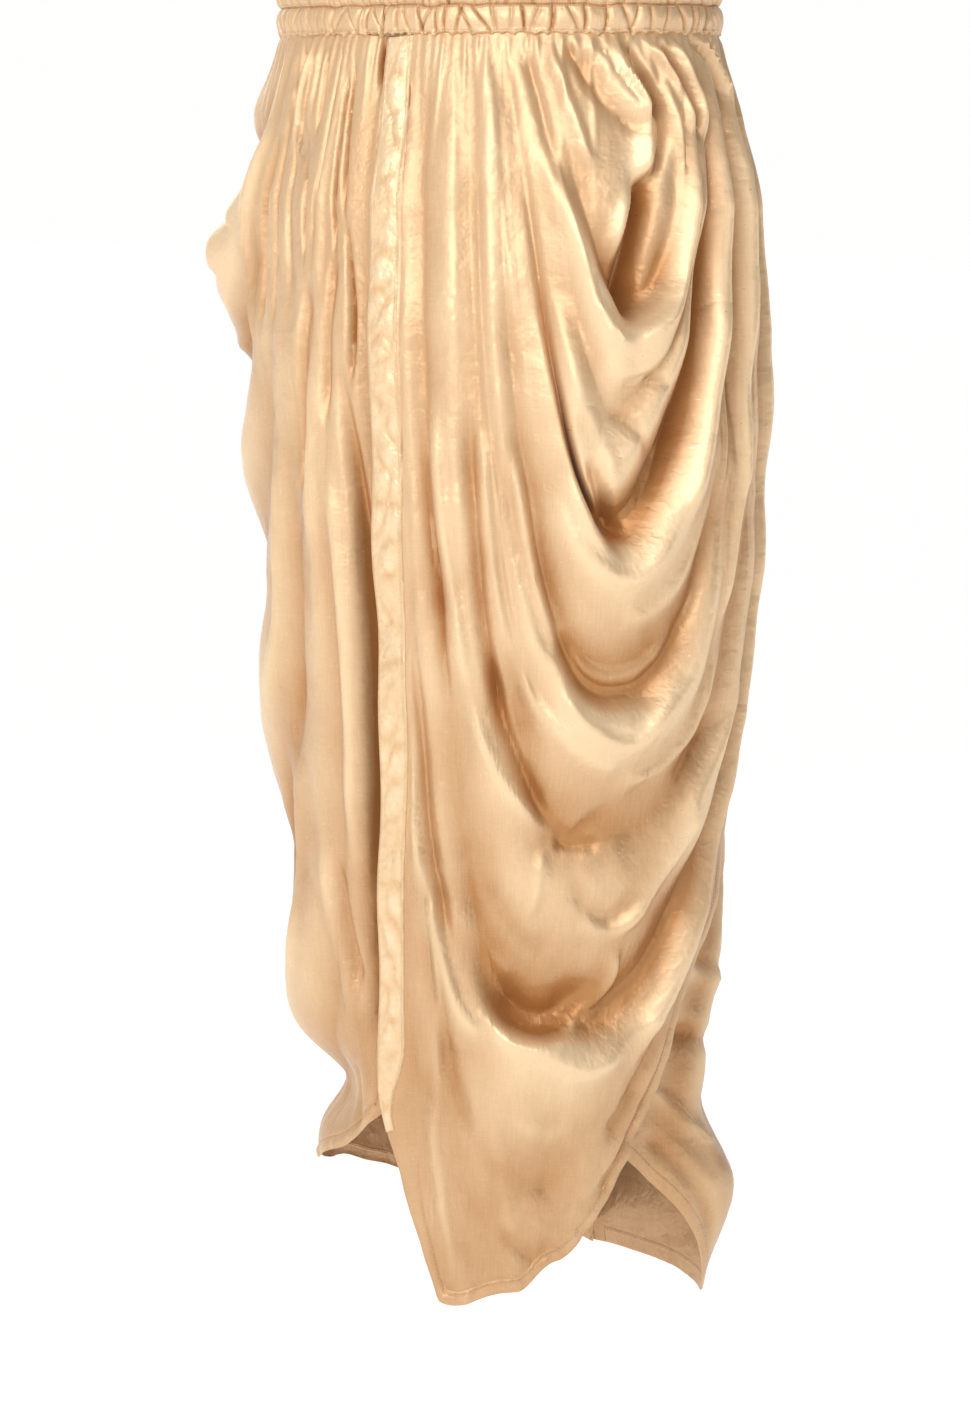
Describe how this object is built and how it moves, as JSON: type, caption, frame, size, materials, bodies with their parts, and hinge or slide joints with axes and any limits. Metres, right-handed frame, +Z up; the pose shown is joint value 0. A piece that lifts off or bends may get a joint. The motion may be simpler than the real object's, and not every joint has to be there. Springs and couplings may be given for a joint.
{
  "type": "dhoti pants",
  "caption": "Champagne satin dhoti pants with a gathered elastic waist, deep draped cowl folds at each hip, a front facing strip and two ankle openings.",
  "frame": {"origin": "middle of the waistband's ring, where the wearer holds the pants up", "axes": "+Z up towards the waist, the front faces -Y, the wearer's left is +X"},
  "size_m": [0.4753, 0.3506, 1.0476],
  "materials": {
    "satin": "satin",
    "facing": "satin"
  },
  "bodies": {
    "root": {"waistband": "satin", "left_drape": "satin", "right_drape": "satin", "back_left": "satin", "back_right": "satin", "gusset": "satin", "front_strip": "facing"}
  },
  "joints": []
}
